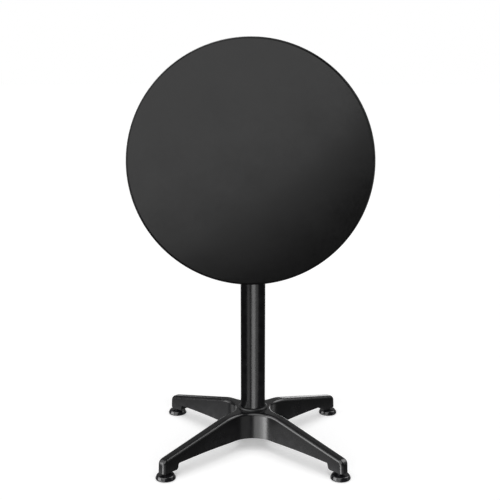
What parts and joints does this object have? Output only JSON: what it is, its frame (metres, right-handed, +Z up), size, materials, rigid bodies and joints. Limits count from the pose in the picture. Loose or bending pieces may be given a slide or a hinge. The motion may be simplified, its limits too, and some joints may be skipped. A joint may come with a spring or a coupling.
{
  "type": "flip-top bistro table",
  "caption": "Round bistro table whose top tips upright for storage on a hinged column head, with a cast star base on levelling feet.",
  "frame": {"origin": "on the floor, under the column's axis", "axes": "+Z up along the column, -Y the way the stored top's surface faces, +X along the hinge bolt"},
  "size_m": [0.5999, 0.4736, 1.049],
  "materials": {
    "cast_powder_coat": "satin black powder coat on cast aluminium",
    "tube_powder_coat": "satin black powder coat on steel tube",
    "top_coat": "smooth satin black coat",
    "board": "raw fibreboard",
    "backing": "matt black laminate",
    "zinc_steel": "bright zinc plate",
    "black_steel": "black zinc plate",
    "nylon": "natural nylon",
    "rubber": "matt black rubber",
    "grip": "fine-grained black moulding",
    "pad_plastic": "gloss black moulding"
  },
  "bodies": {
    "stand": {"star_base": "cast_powder_coat", "column_collar": "cast_powder_coat", "column_tube": "tube_powder_coat", "tie_rod": "zinc_steel", "tie_rod_nut": "zinc_steel", "tie_rod_washer": "zinc_steel", "tie_rod_spring_washer": "zinc_steel", "column_head": "cast_powder_coat", "hinge_bush_left": "nylon", "hinge_bush_right": "nylon", "seat_pads": "rubber", "foot_inserts": "zinc_steel", "foot_lock_nuts": "black_steel"},
    "top": {"top_skin": "top_coat", "top_core": "board", "backing_panel": "backing", "top_bracket": "cast_powder_coat", "bracket_screws": "black_steel", "hinge_bolt": "black_steel", "hinge_nut": "black_steel", "hinge_washers": "black_steel", "stop_buffer": "rubber", "buffer_screw": "black_steel", "latch_bolt": "black_steel", "latch_nut": "black_steel", "latch_washers": "nylon"},
    "latch": {"latch_lever": "black_steel", "lever_grip": "grip"},
    "foot_1": {"foot_pad_1": "pad_plastic", "foot_sole_1": "rubber"},
    "foot_1_screw": {"foot_stud_1": "zinc_steel"},
    "foot_2": {"foot_pad_2": "pad_plastic", "foot_sole_2": "rubber"},
    "foot_2_screw": {"foot_stud_2": "zinc_steel"},
    "foot_3": {"foot_pad_3": "pad_plastic", "foot_sole_3": "rubber"},
    "foot_3_screw": {"foot_stud_3": "zinc_steel"},
    "foot_4": {"foot_pad_4": "pad_plastic", "foot_sole_4": "rubber"},
    "foot_4_screw": {"foot_stud_4": "zinc_steel"}
  },
  "joints": [
    {"name": "top_tilt", "type": "hinge", "parent": "stand", "child": "top", "pos_m": [0, -0.039, 0.71], "axis": [1, 0, 0], "range_deg": [-90, 0]},
    {"name": "latch_lever_swing", "type": "hinge", "parent": "top", "child": "latch", "pos_m": [0, -0.0435, 0.791], "axis": [1, 0, 0], "range_deg": [-28, 0]},
    {"name": "foot_1_height", "type": "slide", "parent": "stand", "child": "foot_1", "axis": [0, 0, 1], "range_m": [-0.01, 0]},
    {"name": "foot_1_turn", "type": "hinge", "parent": "foot_1", "child": "foot_1_screw", "pos_m": [-0.212, -0.212, 0.02], "axis": [0, 0, 1], "range_deg": [-2880, 0]},
    {"name": "foot_2_height", "type": "slide", "parent": "stand", "child": "foot_2", "axis": [0, 0, 1], "range_m": [-0.01, 0]},
    {"name": "foot_2_turn", "type": "hinge", "parent": "foot_2", "child": "foot_2_screw", "pos_m": [0.212, -0.212, 0.02], "axis": [0, 0, 1], "range_deg": [-2880, 0]},
    {"name": "foot_3_height", "type": "slide", "parent": "stand", "child": "foot_3", "axis": [0, 0, 1], "range_m": [-0.01, 0]},
    {"name": "foot_3_turn", "type": "hinge", "parent": "foot_3", "child": "foot_3_screw", "pos_m": [0.212, 0.212, 0.02], "axis": [0, 0, 1], "range_deg": [-2880, 0]},
    {"name": "foot_4_height", "type": "slide", "parent": "stand", "child": "foot_4", "axis": [0, 0, 1], "range_m": [-0.01, 0]},
    {"name": "foot_4_turn", "type": "hinge", "parent": "foot_4", "child": "foot_4_screw", "pos_m": [-0.212, 0.212, 0.02], "axis": [0, 0, 1], "range_deg": [-2880, 0]}
  ],
  "couplings": [
    {"joint": "foot_1_turn", "follows": "foot_1_height", "rad_per_m": 5026.5},
    {"joint": "foot_2_turn", "follows": "foot_2_height", "rad_per_m": 5026.5},
    {"joint": "foot_3_turn", "follows": "foot_3_height", "rad_per_m": 5026.5},
    {"joint": "foot_4_turn", "follows": "foot_4_height", "rad_per_m": 5026.5}
  ]
}
